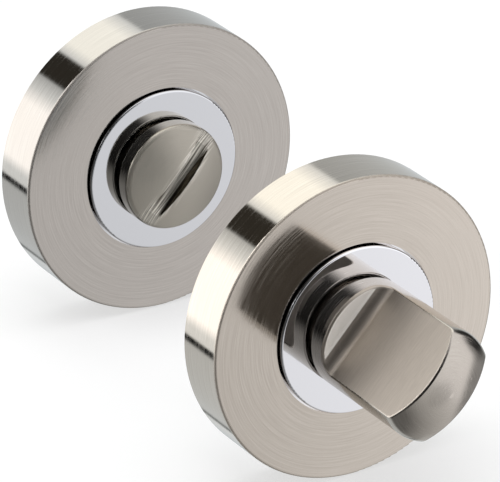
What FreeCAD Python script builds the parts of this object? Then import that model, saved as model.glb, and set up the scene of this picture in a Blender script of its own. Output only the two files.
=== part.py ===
"""Bathroom thumb turn lock: an inside thumb turn and an outside emergency release, each on a round rose.

Every piece is drawn about its own axis in millimetres: Z runs out of the door, towards the hand, and Z = 0 is
the door face. The Placement of a piece then turns Z to the front (-Y) and sets the piece on its half of the set.
"""
import FreeCAD, Part
import Sketcher
import math
import os
import re

doc = FreeCAD.newDocument("ThumbTurnLock")
sheet = doc.addObject("Spreadsheet::Sheet", "Dims")

DIMENSIONS = (
    # where the halves stand, and how their moving pieces are turned at rest
    ("release_aside", 5.3),
    ("release_behind", 71.3),
    ("rest_angle", 47),
    ("screw_line_angle", 45),
    ("door_thickness", 35),
    # rose cover: a turned cap that snaps over the base
    ("rose_diameter", 53),
    ("rose_height", 9.5),
    ("cover_wall", 1.5),
    ("cover_face", 1.6),
    ("cover_edge_radius", 0.4),
    ("snap_clearance", 0.15),
    ("bead_radius", 0.45),
    ("bead_sink", 0.15),
    ("bead_height", 3.4),
    # collar: the bright ring in the middle, trapped by its flange
    ("collar_diameter", 29.2),
    ("collar_proud", 0.9),
    ("collar_edge", 0.3),
    ("collar_flange_width", 1.3),
    ("collar_flange_thickness", 1),
    ("cover_hole_gap", 0.3),
    # base: a die-cast disc with a bearing boss, a rim and six ribs
    ("base_floor", 2.6),
    ("rim_height", 5.2),
    ("rim_thickness", 1.6),
    ("boss_margin", 0.4),
    ("rib_count", 6),
    ("rib_thickness", 1.6),
    ("rib_height", 4.6),
    ("recess_diameter", 24),
    ("recess_depth", 3.2),
    # bearing: stem, nylon bush, spring washer, flat washer and circlip
    ("stem_diameter", 12),
    ("running_clearance", 0.05),
    ("bush_wall", 1.5),
    ("bush_press", 0.02),
    ("bush_flange_thickness", 1),
    ("axial_play", 0.05),
    ("spring_height", 1),
    ("spring_thickness", 0.3),
    ("spring_waves", 3),
    ("spring_inner_gap", 0.4),
    ("spring_outer_gap", 0.5),
    ("washer_outer", 20),
    ("washer_clearance", 0.1),
    ("washer_thickness", 0.6),
    ("circlip_thickness", 1),
    ("circlip_width", 1.9),
    ("circlip_taper", 0.3),
    ("circlip_lug_offset", 1.7),
    ("circlip_lug_rise", 1),
    ("circlip_lug_radius", 1.5),
    ("circlip_gap", 1),
    ("circlip_hole", 1.5),
    ("groove_depth", 0.25),
    ("stem_land", 0.7),
    # heads: neck in the collar, shadow gap, round head
    ("neck_diameter", 16.6),
    ("neck_clearance", 0.3),
    ("head_gap", 1),
    ("head_diameter", 19.4),
    ("head_foot_edge", 0.25),
    ("turn_length", 26),
    ("turn_shoulder", 3.5),
    ("shoulder_dish", 8),
    ("turn_crown_radius", 14.5),
    ("turn_crown_edge", 1.7),
    ("blade_thickness", 8.9),
    ("blade_root_radius", 2.1),
    ("blade_edge", 0.45),
    ("release_length", 5),
    ("release_crown_radius", 23.4),
    ("release_crown_edge", 1.2),
    ("slot_width", 3),
    ("slot_depth", 1.9),
    ("slot_cutter_radius", 40),
    # spindle and the tails that hold it
    ("spindle_size", 5),
    ("spindle_clearance", 0.05),
    ("spindle_chamfer", 0.5),
    ("spindle_overlap", 5),
    ("tail_diameter", 11),
    ("turn_tail", 8),
    ("turn_socket_depth", 12),
    ("release_tail", 12),
    ("release_socket_depth", 11),
    ("grub_diameter", 3),
    ("grub_length", 2.6),
    ("grub_hex", 1.5),
    ("grub_point", 0.6),
    ("grub_inset", 4),
    # countersunk wood screws that hold each base to the door
    ("screw_circle", 40),
    ("screw_length", 16),
    ("screw_head_diameter", 6.6),
    ("screw_thread_diameter", 3.5),
    ("screw_shank_diameter", 3.2),
    ("screw_point", 4),
    ("screw_hole_clearance", 0.35),
    ("screw_seat_gap", 0.05),
    ("cross_length", 3.4),
    ("cross_width", 0.9),
    ("cross_depth", 1.1),
    # how far a cutter runs past the metal, so that no cut ends on a face
    ("overrun", 1),
)
for row, (alias, size) in enumerate(DIMENSIONS, start=1):
    sheet.set(f"A{row}", alias)
    sheet.set(f"B{row}", str(size))
    sheet.setAlias(f"B{row}", alias)
doc.recompute()

ALIASES = {alias for alias, _ in DIMENSIONS}

# Levels and radii that several pieces share, worked out from the sheet.
ROSE_R = "rose_diameter/2"
COVER_INNER_R = "(rose_diameter/2 - cover_wall)"
COVER_UNDERSIDE = "(rose_height - cover_face)"
RIM_R = "(rose_diameter/2 - cover_wall - snap_clearance)"
BEAD_R = "(rose_diameter/2 - cover_wall - snap_clearance - bead_sink)"
COLLAR_R = "(collar_diameter/2)"
COLLAR_TOP = "(rose_height + collar_proud)"
COLLAR_BORE_R = "(neck_diameter/2 + neck_clearance)"
COLLAR_FLANGE_R = "(collar_diameter/2 + collar_flange_width)"
BOSS_R = "(collar_diameter/2 + collar_flange_width + boss_margin)"
BOSS_TOP = "(rose_height - cover_face - collar_flange_thickness)"
STEM_R = "(stem_diameter/2)"
BUSH_INNER_R = "(stem_diameter/2 + running_clearance)"
BUSH_OUTER_R = "(stem_diameter/2 + running_clearance + bush_wall)"
BUSH_BORE_R = "(stem_diameter/2 + running_clearance + bush_wall + bush_press)"
BUSH_TOP = f"({BOSS_TOP} + bush_flange_thickness)"
NECK_R = "(neck_diameter/2)"
NECK_FOOT = f"({BUSH_TOP} + axial_play)"
HEAD_R = "(head_diameter/2)"
HEAD_FOOT = f"({COLLAR_TOP} + head_gap)"
TURN_TOP = f"({HEAD_FOOT} + turn_length)"
RELEASE_TOP = f"({HEAD_FOOT} + release_length)"
SPRING_TOP = "(recess_depth - axial_play)"
WASHER_TOP = "(recess_depth - spring_height - 2*axial_play)"
CIRCLIP_TOP = "(recess_depth - spring_height - washer_thickness - 3*axial_play)"
CIRCLIP_FOOT = f"({CIRCLIP_TOP} - circlip_thickness)"
GROOVE_R = "(stem_diameter/2 - groove_depth)"
GROOVE_TOP = f"({CIRCLIP_TOP} + axial_play)"
GROOVE_FOOT = f"({CIRCLIP_FOOT} - axial_play)"
STEM_FOOT = f"({GROOVE_FOOT} - stem_land)"
TAIL_R = "(tail_diameter/2)"
SOCKET_SIZE = "(spindle_size + 2*spindle_clearance)"
SPINDLE_REACH = "(door_thickness - release_tail + spindle_overlap)"
SCREW_HOLE_R = "(screw_thread_diameter/2 + screw_hole_clearance)"
SCREW_HEAD_R = "(screw_head_diameter/2)"
DISH = "shoulder_dish*1 deg"
SPRING_STEPS = 48
HEX_SIDES = 6


def bound(text):
    """The expression with every size in it written as a cell of the sheet."""
    return re.sub(r"[a-z_]+", lambda word: f"Dims.{word[0]}" if word[0] in ALIASES else word[0], text)


def number(text):
    """The value that the expression has now."""
    result = sheet.evalExpression(bound(text))
    return float(getattr(result, "Value", result))


def new_body(label):
    """An empty body whose Label names its piece."""
    body = doc.addObject("PartDesign::Body", label)
    body.Label = label
    return body


def new_sketch(body, name, role):
    """A sketch on one of the body's own origin planes."""
    sketch = body.newObject("Sketcher::SketchObject", name)
    plane = next(item for item in body.Origin.OriginFeatures if item.Role == role)
    sketch.AttachmentSupport = [(plane, "")]
    sketch.MapMode = "FlatFace"
    return sketch


def pin_point(sketch, index, end, x, y):
    """Bind one sketch point to two expressions, or to an axis where the expression is zero."""
    for kind, text, axis in (("DistanceX", x, -2), ("DistanceY", y, -1)):
        if text == "0":
            sketch.addConstraint(Sketcher.Constraint("PointOnObject", index, end, axis))
        else:
            constraint = sketch.addConstraint(Sketcher.Constraint(kind, index, end, number(text)))
            sketch.setExpression(f"Constraints[{constraint}]", bound(text))


def arc_between(start, end, radius, turn):
    """The short arc from start to end, turning left (turn = 1) or right (turn = -1)."""
    chord = end - start
    side = FreeCAD.Vector(-chord.y, chord.x, 0).normalize() * turn
    rise = math.sqrt(max(radius ** 2 - (chord.Length / 2) ** 2, 0))
    centre = (start + end) / 2 + side * rise
    first, last = (start, end) if turn > 0 else (end, start)
    angles = [math.atan2(point.y - centre.y, point.x - centre.x) for point in (first, last)]
    circle = Part.Circle(centre, FreeCAD.Vector(0, 0, 1), radius)
    return Part.ArcOfCircle(circle, angles[0], angles[1])


def draw_outline(sketch, corners, arcs=None):
    """A closed outline through corners given as expressions; arcs maps a corner to (radius, turn)."""
    arcs = arcs or {}
    points = [FreeCAD.Vector(number(x), number(y), 0) for x, y in corners]
    count = len(points)
    offset = sketch.GeometryCount
    ends = []
    for i, start in enumerate(points):
        finish = points[(i + 1) % count]
        if i in arcs:
            radius, turn = arcs[i]
            sketch.addGeometry(arc_between(start, finish, number(radius), turn), False)
            ends.append((1, 2) if turn > 0 else (2, 1))
        else:
            sketch.addGeometry(Part.LineSegment(start, finish), False)
            ends.append((1, 2))
    for i in range(count):
        following = (i + 1) % count
        sketch.addConstraint(Sketcher.Constraint(
            "Coincident", offset + i, ends[i][1], offset + following, ends[following][0]))
    for i, (x, y) in enumerate(corners):
        pin_point(sketch, offset + i, ends[i][0], x, y)
    for i, (radius, _) in arcs.items():
        constraint = sketch.addConstraint(Sketcher.Constraint("Radius", offset + i, number(radius)))
        sketch.setExpression(f"Constraints[{constraint}]", bound(radius))


def draw_circle(sketch, x, y, radius):
    """A circle whose centre and radius are expressions."""
    centre = FreeCAD.Vector(number(x), number(y), 0)
    index = sketch.addGeometry(Part.Circle(centre, FreeCAD.Vector(0, 0, 1), number(radius)), False)
    pin_point(sketch, index, 3, x, y)
    constraint = sketch.addConstraint(Sketcher.Constraint("Radius", index, number(radius)))
    sketch.setExpression(f"Constraints[{constraint}]", bound(radius))


def revolve(body, name, corners, arcs=None):
    """Turn a half section, drawn as (radius, height) corners, about the axis."""
    sketch = new_sketch(body, f"{name}_section", "XZ_Plane")
    draw_outline(sketch, corners, arcs)
    feature = body.newObject("PartDesign::Revolution", name)
    feature.Profile = sketch
    feature.ReferenceAxis = (sketch, ["V_Axis"])
    feature.Angle = 360
    doc.recompute()
    return feature


def pad(body, name, sketch, length):
    """Raise a sketch by an expression's length."""
    feature = body.newObject("PartDesign::Pad", name)
    feature.Profile = sketch
    feature.setExpression("Length", bound(length))
    doc.recompute()
    return feature


def cut(body, name, sketch, length=None, symmetric=False, reverse=False):
    """Cut a sketch to a length, or right through the body, and make sure that it removed something."""
    before = body.Shape.Volume
    feature = body.newObject("PartDesign::Pocket", name)
    feature.Profile = sketch
    feature.SideType = "Symmetric" if symmetric else "One side"
    feature.Reversed = reverse
    if length is None:
        feature.Type = "ThroughAll"
    else:
        feature.setExpression("Length", bound(length))
    doc.recompute()
    if body.Shape.Volume >= before - 1e-6:
        raise RuntimeError(f"{body.Label}: {name} cuts nothing")
    return feature


def raise_sketch(sketch, height):
    """Lift a sketch off its plane by an expression."""
    sketch.setExpression("AttachmentOffset.Base.z", bound(height))
    doc.recompute()


def around(body, name, original, count):
    """Repeat a feature evenly about the body's axis."""
    axis = next(item for item in body.Origin.OriginFeatures if item.Role == "Z_Axis")
    pattern = body.newObject("PartDesign::PolarPattern", name)
    pattern.Originals = [original]
    pattern.Axis = (axis, [""])
    pattern.Angle = 360
    pattern.Occurrences = count
    body.Tip = pattern
    doc.recompute()
    return pattern


def rose_cover(label):
    """Thin turned cap with a rounded rim, a hole for the collar and a groove inside that snaps over the base."""
    body = new_body(label)
    reach = f"sqrt((bead_radius + snap_clearance)^2 - ({COVER_INNER_R} - {BEAD_R})^2)"
    hole_r = f"({COLLAR_R} + cover_hole_gap)"
    revolve(body, f"{label}_cap", [
        (COVER_INNER_R, "0"),
        (ROSE_R, "0"),
        (ROSE_R, "rose_height - cover_edge_radius"),
        (f"{ROSE_R} - cover_edge_radius", "rose_height"),
        (hole_r, "rose_height"),
        (hole_r, COVER_UNDERSIDE),
        (COVER_INNER_R, COVER_UNDERSIDE),
        (COVER_INNER_R, f"bead_height + {reach}"),
        (COVER_INNER_R, f"bead_height - {reach}"),
    ], {2: ("cover_edge_radius", 1), 7: ("bead_radius + snap_clearance", -1)})
    return body


def rose_base(label):
    """Die-cast disc: bearing boss, recess behind for the spring, rim with a snap bead, ribs, two screw holes."""
    body = new_body(label)
    reach = f"sqrt(bead_radius^2 - ({RIM_R} - {BEAD_R})^2)"
    rim_inner = f"({RIM_R} - rim_thickness)"
    revolve(body, f"{label}_disc", [
        ("recess_diameter/2", "0"),
        (RIM_R, "0"),
        (RIM_R, f"bead_height - {reach}"),
        (RIM_R, f"bead_height + {reach}"),
        (RIM_R, "rim_height"),
        (rim_inner, "rim_height"),
        (rim_inner, "base_floor"),
        (BOSS_R, "base_floor"),
        (BOSS_R, BOSS_TOP),
        (BUSH_BORE_R, BOSS_TOP),
        (BUSH_BORE_R, "recess_depth"),
        ("recess_diameter/2", "recess_depth"),
    ], {2: ("bead_radius", 1)})
    rib = new_sketch(body, f"{label}_rib_outline", "XY_Plane")
    raise_sketch(rib, "base_floor")
    rib_start = f"{BOSS_R} - boss_margin"
    rib_end = f"{rim_inner} + rim_thickness/2"
    draw_outline(rib, [
        ("-rib_thickness/2", rib_start),
        ("rib_thickness/2", rib_start),
        ("rib_thickness/2", rib_end),
        ("-rib_thickness/2", rib_end),
    ])
    around(body, f"{label}_ribs", pad(body, f"{label}_rib", rib, "rib_height - base_floor"), int(number("rib_count")))
    hole = new_sketch(body, f"{label}_hole_section", "XZ_Plane")
    sink_r = f"({SCREW_HEAD_R} + screw_seat_gap)"
    sink_foot = f"(base_floor - {sink_r} + {SCREW_HOLE_R})"
    axis_x = "screw_circle/2"
    draw_outline(hole, [
        (axis_x, "-overrun"),
        (f"{axis_x} + {SCREW_HOLE_R}", "-overrun"),
        (f"{axis_x} + {SCREW_HOLE_R}", sink_foot),
        (f"{axis_x} + {sink_r}", "base_floor"),
        (f"{axis_x} + {sink_r}", "rose_height"),
        (axis_x, "rose_height"),
    ])
    before = body.Shape.Volume
    groove = body.newObject("PartDesign::Groove", f"{label}_screw_hole")
    groove.Profile = hole
    groove.ReferenceAxis = (hole, ["Edge6"])
    groove.Angle = 360
    doc.recompute()
    around(body, f"{label}_screw_holes", groove, 2)
    if body.Shape.Volume >= before:
        raise RuntimeError(f"{label}: the screw holes cut nothing")
    return body


def collar(label):
    """Polished ring that stands proud of the cover, with a flange trapped under it."""
    body = new_body(label)
    revolve(body, f"{label}_ring", [
        (COLLAR_BORE_R, BOSS_TOP),
        (COLLAR_FLANGE_R, BOSS_TOP),
        (COLLAR_FLANGE_R, COVER_UNDERSIDE),
        (COLLAR_R, COVER_UNDERSIDE),
        (COLLAR_R, f"{COLLAR_TOP} - collar_edge"),
        (f"{COLLAR_R} - collar_edge", COLLAR_TOP),
        (f"{COLLAR_BORE_R} + collar_edge", COLLAR_TOP),
        (COLLAR_BORE_R, f"{COLLAR_TOP} - collar_edge"),
    ], {4: ("collar_edge", 1), 6: ("collar_edge", 1)})
    return body


def bush(label):
    """Nylon bearing bush, pressed into the boss, that the head's neck bears on."""
    body = new_body(label)
    flange_r = f"({COLLAR_BORE_R} - neck_clearance/2)"
    revolve(body, f"{label}_sleeve", [
        (BUSH_INNER_R, "recess_depth"),
        (BUSH_OUTER_R, "recess_depth"),
        (BUSH_OUTER_R, BOSS_TOP),
        (flange_r, BOSS_TOP),
        (flange_r, BUSH_TOP),
        (BUSH_INNER_R, BUSH_TOP),
    ])
    return body


def turned_blank(body, name, top, crown_radius, crown_edge, tail):
    """Tail, grooved stem, neck and crowned round head, turned in one piece."""
    crown_centre = f"({top} - {crown_radius})"
    edge_x = f"({HEAD_R} - {crown_edge})"
    edge_rise = f"sqrt(({crown_radius} - {crown_edge})^2 - {edge_x}^2)"
    grow = f"({crown_radius}/({crown_radius} - {crown_edge}))"
    revolve(body, name, [
        ("0", f"-{tail}"),
        (TAIL_R, f"-{tail}"),
        (TAIL_R, STEM_FOOT),
        (STEM_R, STEM_FOOT),
        (STEM_R, GROOVE_FOOT),
        (GROOVE_R, GROOVE_FOOT),
        (GROOVE_R, GROOVE_TOP),
        (STEM_R, GROOVE_TOP),
        (STEM_R, NECK_FOOT),
        (NECK_R, NECK_FOOT),
        (NECK_R, HEAD_FOOT),
        (f"{HEAD_R} - head_foot_edge", HEAD_FOOT),
        (HEAD_R, f"{HEAD_FOOT} + head_foot_edge"),
        (HEAD_R, f"{crown_centre} + {edge_rise}"),
        (f"{edge_x}*{grow}", f"{crown_centre} + {edge_rise}*{grow}"),
        ("0", top),
    ], {11: ("head_foot_edge", 1), 13: (crown_edge, 1), 14: (crown_radius, 1)})


def square_socket(body, name, tail, depth):
    """Square hole for the spindle, broached up from the end of the tail."""
    sketch = new_sketch(body, f"{name}_outline", "XY_Plane")
    raise_sketch(sketch, f"-{tail}")
    half = f"{SOCKET_SIZE}/2"
    draw_outline(sketch, [(f"-{half}", f"-{half}"), (half, f"-{half}"), (half, half), (f"-{half}", half)])
    cut(body, name, sketch, depth, reverse=True)


def is_milled(face):
    """True for the two flats, the two shoulders and the root radii: no face there is turned about Z."""
    surface = face.Surface
    if isinstance(surface, Part.Plane):
        return abs(surface.Axis.y) > 1e-4
    return isinstance(surface, Part.Cylinder) and abs(surface.Axis.z) < 1e-4


def milled_outline(shape):
    """Names of the edges where a milled face meets a turned one."""
    names = []
    for i, edge in enumerate(shape.Edges, start=1):
        faces = shape.ancestorsOfType(edge, Part.Face)
        if sum(is_milled(face) for face in faces) == 1:
            names.append(f"Edge{i}")
    return names


def break_edges(body, name, base, edges, radius):
    """Round the named edges of a feature."""
    feature = body.newObject("PartDesign::Fillet", name)
    feature.Base = (base, edges)
    feature.setExpression("Radius", bound(radius))
    doc.recompute()
    return feature


def thumb_turn(label):
    """Knob turned from bar, with both sides milled away to leave a blade on a round foot."""
    body = new_body(label)
    turned_blank(body, f"{label}_blank", TURN_TOP, "turn_crown_radius", "turn_crown_edge", "turn_tail")
    root_height = f"({HEAD_FOOT} + turn_shoulder + blade_root_radius)"
    root_x = f"(blade_thickness/2 + blade_root_radius*(1 + sin({DISH})))"
    root_z = f"({root_height} - blade_root_radius*cos({DISH}))"
    side_x = f"({HEAD_R} + overrun)"
    side_z = f"({root_z} + ({side_x} - {root_x})*tan({DISH}))"
    sides = new_sketch(body, f"{label}_milled_sides", "YZ_Plane")
    for sign, turn in (("", 1), ("-", -1)):
        draw_outline(sides, [
            (f"{sign}blade_thickness/2", f"{TURN_TOP} + overrun"),
            (f"{sign}blade_thickness/2", root_height),
            (f"{sign}{root_x}", root_z),
            (f"{sign}{side_x}", side_z),
            (f"{sign}{side_x}", f"{TURN_TOP} + overrun"),
        ], {1: ("blade_root_radius", turn)})
    milled = cut(body, f"{label}_blade", sides, symmetric=True)
    break_edges(body, f"{label}_edges", milled, milled_outline(milled.Shape), "blade_edge")
    square_socket(body, f"{label}_socket", "turn_tail", "turn_socket_depth")
    tapped = new_sketch(body, f"{label}_grub_outline", "YZ_Plane")
    draw_circle(tapped, "0", "-grub_inset", "grub_diameter/2")
    cut(body, f"{label}_grub_hole", tapped, reverse=True)
    return body


def release_stud(label):
    """Low crowned head with a coin slot sawn across it, on the same stem as the turn."""
    body = new_body(label)
    turned_blank(body, f"{label}_blank", RELEASE_TOP, "release_crown_radius", "release_crown_edge", "release_tail")
    slot = new_sketch(body, f"{label}_slot_outline", "XZ_Plane")
    end_x = f"({HEAD_R} + overrun)"
    end_z = f"({RELEASE_TOP} - slot_depth + slot_cutter_radius - sqrt(slot_cutter_radius^2 - {end_x}^2))"
    draw_outline(slot, [
        (f"-{end_x}", end_z),
        (end_x, end_z),
        (end_x, f"{RELEASE_TOP} + overrun"),
        (f"-{end_x}", f"{RELEASE_TOP} + overrun"),
    ], {0: ("slot_cutter_radius", 1)})
    cut(body, f"{label}_slot", slot, "slot_width", symmetric=True)
    square_socket(body, f"{label}_socket", "release_tail", "release_socket_depth")
    return body


def spring_washer(label):
    """Wavy spring that holds the head where it is put."""
    feature = doc.addObject("Part::Feature", label)
    feature.Label = label
    inner_r = number(f"{STEM_R} + spring_inner_gap")
    outer_r = number("washer_outer/2 - spring_outer_gap")
    swing = number("(spring_height - spring_thickness)/2")
    middle = number(f"{SPRING_TOP} - spring_height/2 - spring_thickness/2")
    rims = []
    for radius in (inner_r, outer_r):
        turns = [2 * math.pi * i / SPRING_STEPS for i in range(SPRING_STEPS)]
        points = [FreeCAD.Vector(radius * math.cos(a), radius * math.sin(a),
                                 middle + swing * math.cos(number("spring_waves") * a)) for a in turns]
        curve = Part.BSplineCurve()
        curve.interpolate(points, PeriodicFlag=True)
        rims.append(curve.toShape())
    sheet_face = Part.makeRuledSurface(rims[0], rims[1])
    feature.Shape = sheet_face.extrude(FreeCAD.Vector(0, 0, number("spring_thickness")))
    return feature


def flat_washer(label):
    """Plain washer between the spring and the circlip."""
    body = new_body(label)
    sketch = new_sketch(body, f"{label}_outline", "XY_Plane")
    raise_sketch(sketch, f"{WASHER_TOP} - washer_thickness")
    draw_circle(sketch, "0", "0", "washer_outer/2")
    draw_circle(sketch, "0", "0", f"{STEM_R} + washer_clearance")
    pad(body, f"{label}_disc", sketch, "washer_thickness")
    return body


def circlip(label):
    """External retaining ring in the stem's groove: a tapering ring with two holed lugs at its gap."""
    body = new_body(label)
    inner_r = f"({GROOVE_R} + bush_press)"
    lug_x = "circlip_lug_offset"
    lug_y = f"({inner_r} + circlip_lug_rise)"
    ring = new_sketch(body, f"{label}_ring_outline", "XY_Plane")
    raise_sketch(ring, CIRCLIP_FOOT)
    draw_circle(ring, "0", "-circlip_taper", f"{inner_r} + circlip_width - circlip_taper")
    draw_circle(ring, "0", "0", inner_r)
    pad(body, f"{label}_ring", ring, "circlip_thickness")
    for side, sign in (("left", "-"), ("right", "")):
        lug = new_sketch(body, f"{label}_lug_{side}", "XY_Plane")
        raise_sketch(lug, CIRCLIP_FOOT)
        draw_circle(lug, f"{sign}{lug_x}", lug_y, "circlip_lug_radius")
        pad(body, f"{label}_lug_pad_{side}", lug, "circlip_thickness")
    opening = new_sketch(body, f"{label}_opening", "XY_Plane")
    raise_sketch(opening, f"{CIRCLIP_FOOT} - overrun")
    draw_circle(opening, "0", "0", inner_r)
    cut(body, f"{label}_bore", opening, "circlip_thickness + 2*overrun", reverse=True)
    gap = new_sketch(body, f"{label}_gap_outline", "XY_Plane")
    raise_sketch(gap, f"{CIRCLIP_FOOT} - overrun")
    half_gap = "circlip_gap/2"
    draw_outline(gap, [
        (f"-{half_gap}", "stem_diameter/4"),
        (half_gap, "stem_diameter/4"),
        (half_gap, "stem_diameter"),
        (f"-{half_gap}", "stem_diameter"),
    ])
    cut(body, f"{label}_gap", gap, "circlip_thickness + 2*overrun", reverse=True)
    holes = new_sketch(body, f"{label}_holes", "XY_Plane")
    raise_sketch(holes, f"{CIRCLIP_FOOT} - overrun")
    for sign in ("-", ""):
        draw_circle(holes, f"{sign}{lug_x}", lug_y, "circlip_hole/2")
    cut(body, f"{label}_plier_holes", holes, "circlip_thickness + 2*overrun", reverse=True)
    return body


def spindle(label):
    """Square bar that carries the turn through the lock to the release, with its ends chamfered."""
    body = new_body(label)
    sketch = new_sketch(body, f"{label}_outline", "XY_Plane")
    raise_sketch(sketch, f"-{SPINDLE_REACH}")
    half = "spindle_size/2"
    draw_outline(sketch, [(f"-{half}", f"-{half}"), (half, f"-{half}"), (half, half), (f"-{half}", half)])
    bar = pad(body, f"{label}_bar", sketch, f"{SPINDLE_REACH} + turn_socket_depth - turn_tail - spindle_clearance")
    ends = [f"Edge{i}" for i, edge in enumerate(bar.Shape.Edges, start=1)
            if abs(edge.Vertexes[0].Z - edge.Vertexes[1].Z) < 1e-6]
    chamfer = body.newObject("PartDesign::Chamfer", f"{label}_ends")
    chamfer.Base = (bar, ends)
    chamfer.setExpression("Size", bound("spindle_chamfer"))
    doc.recompute()
    return body


def grub_screw(label):
    """Socket set screw that pins the spindle in the turn's tail; drawn along Z from its point."""
    body = new_body(label)
    radius = "(grub_diameter/2 - spindle_clearance)"
    revolve(body, f"{label}_blank", [
        ("0", "0"),
        (f"{radius} - grub_point", "0"),
        (radius, "grub_point"),
        (radius, "grub_length"),
        ("0", "grub_length"),
    ])
    key = new_sketch(body, f"{label}_key_outline", "XY_Plane")
    raise_sketch(key, "grub_length")
    corner = "grub_hex/sqrt(3)"
    turns = [360 * i // HEX_SIDES for i in range(HEX_SIDES)]
    across = [(f"{corner}*cos({turn} deg)", f"{corner}*sin({turn} deg)") for turn in turns]
    across[0] = (corner, "0")
    across[HEX_SIDES // 2] = (f"-{corner}", "0")
    draw_outline(key, across)
    cut(body, f"{label}_key", key, "grub_length/2")
    return body


def fixing_screw(label):
    """Countersunk wood screw with a cross recess; its thread starts at the door face."""
    body = new_body(label)
    shank_r = "(screw_shank_diameter/2)"
    thread_r = "(screw_thread_diameter/2)"
    tip = "(base_floor - screw_length)"
    revolve(body, f"{label}_blank", [
        ("0", tip),
        (thread_r, f"{tip} + screw_point"),
        (thread_r, "0"),
        (shank_r, "0"),
        (shank_r, f"base_floor - {SCREW_HEAD_R} + {shank_r}"),
        (SCREW_HEAD_R, "base_floor"),
        ("0", "base_floor"),
    ])
    cross = new_sketch(body, f"{label}_cross_outline", "XY_Plane")
    raise_sketch(cross, "base_floor")
    long, short = "cross_length/2", "cross_width/2"
    draw_outline(cross, [
        (f"-{short}", f"-{long}"), (short, f"-{long}"), (short, f"-{short}"), (long, f"-{short}"),
        (long, short), (short, short), (short, long), (f"-{short}", long),
        (f"-{short}", short), (f"-{long}", short), (f"-{long}", f"-{short}"), (f"-{short}", f"-{short}"),
    ])
    cut(body, f"{label}_cross", cross, "cross_depth")
    return body


def stand(piece, aside, behind, turned=0, at=None):
    """Set a piece on its half: its axis to the front, turned about that axis, then moved to its place."""
    to_front = FreeCAD.Rotation(FreeCAD.Vector(1, 0, 0), 90)
    about_axis = FreeCAD.Rotation(FreeCAD.Vector(0, 0, 1), turned)
    half = FreeCAD.Placement(FreeCAD.Vector(aside, behind, 0), to_front.multiply(about_axis))
    piece.Placement = half.multiply(at or FreeCAD.Placement())
    return piece


def build_half(side, aside, behind):
    """The pieces that both halves share: rose, collar, bearing, retaining stack and screws."""
    rest = number("rest_angle")
    screw_line = number("screw_line_angle")
    pieces = [
        stand(rose_cover(f"{side}_rose_cover"), aside, behind),
        stand(rose_base(f"{side}_base"), aside, behind, screw_line),
        stand(collar(f"{side}_collar"), aside, behind),
        stand(bush(f"{side}_bush"), aside, behind),
        stand(spring_washer(f"{side}_spring_washer"), aside, behind),
        stand(flat_washer(f"{side}_flat_washer"), aside, behind, rest),
        stand(circlip(f"{side}_circlip"), aside, behind, rest),
    ]
    for name, direction in (("upper", 1), ("lower", -1)):
        seat = FreeCAD.Placement(FreeCAD.Vector(direction * number("screw_circle/2"), 0, 0), FreeCAD.Rotation())
        pieces.append(stand(fixing_screw(f"{side}_fixing_screw_{name}"), aside, behind, screw_line, seat))
    return pieces


rest_angle = number("rest_angle")
release_place = (number("release_aside"), number("release_behind"))
sub_parts = build_half("turn", 0, 0)
sub_parts.append(stand(thumb_turn("thumb_turn"), 0, 0, rest_angle))
sub_parts.append(stand(spindle("turn_spindle"), 0, 0, rest_angle))
grub_seat = FreeCAD.Placement(
    FreeCAD.Vector(number("spindle_size/2 + spindle_clearance"), 0, number("-grub_inset")),
    FreeCAD.Rotation(FreeCAD.Vector(0, 1, 0), 90))
sub_parts.append(stand(grub_screw("spindle_grub_screw"), 0, 0, rest_angle, grub_seat))
sub_parts.extend(build_half("release", *release_place))
sub_parts.append(stand(release_stud("release_stud"), *release_place, rest_angle))

doc.recompute()
for item in doc.Objects:
    if "Invalid" in item.State or "Error" in item.State:
        raise RuntimeError(f"{item.Label} did not recompute: {item.State}")
for piece in sub_parts:
    if piece.Shape.isNull() or not piece.Shape.isValid() or len(piece.Shape.Solids) != 1:
        raise RuntimeError(f"{piece.Label} is not one valid solid")

os.makedirs("parts", exist_ok=True)
for piece in sub_parts:
    piece.Shape.exportStep(f"parts/{piece.Label}.step")
    print(piece.Label, "volume", round(piece.Shape.Volume, 1), "mm3")
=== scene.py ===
# %% [markdown]
# # Bathroom thumb turn lock
# Two round roses with bright collars: one carries a thumb turn, the other a coin-slot release. The
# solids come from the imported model, already in their places, and this lesson gives them their finishes,
# cuts the threads of their wood screws, and sets up a floor, light and a camera. Everything is in
# metres. The door face of the turn's rose passes through the origin and the front looks towards -Y.

# %% Load the frame
import bmesh
import bpy
import math
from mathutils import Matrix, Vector


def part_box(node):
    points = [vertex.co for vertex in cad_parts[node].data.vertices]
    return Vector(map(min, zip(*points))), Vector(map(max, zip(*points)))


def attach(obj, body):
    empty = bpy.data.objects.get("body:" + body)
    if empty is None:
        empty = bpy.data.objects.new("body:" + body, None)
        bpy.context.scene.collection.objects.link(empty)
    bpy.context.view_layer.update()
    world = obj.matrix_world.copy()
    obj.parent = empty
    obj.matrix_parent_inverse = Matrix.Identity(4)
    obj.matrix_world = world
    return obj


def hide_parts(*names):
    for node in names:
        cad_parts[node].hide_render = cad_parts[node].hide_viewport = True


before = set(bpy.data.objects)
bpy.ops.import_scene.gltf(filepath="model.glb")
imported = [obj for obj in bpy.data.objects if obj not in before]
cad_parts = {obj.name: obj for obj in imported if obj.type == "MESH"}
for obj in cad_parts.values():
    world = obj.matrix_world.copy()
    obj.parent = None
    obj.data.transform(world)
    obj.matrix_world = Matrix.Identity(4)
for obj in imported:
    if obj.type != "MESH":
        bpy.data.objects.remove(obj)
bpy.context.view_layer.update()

MM = 0.001
print("nodes:", sorted(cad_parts))

# %% [markdown]
# ## Where each half sits
# Both halves are round about an axis that runs along Y. The finishes need those axes, because turning
# lines run round them. Each axis could be typed in, but it is read from the box of its rose cover, so
# it follows the model.

# %% Axes of the two halves
def axis_of(node):
    """Middle of a node's box, as the point that its turned surfaces run round."""
    low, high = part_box(node)
    return (low + high) / 2


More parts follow.
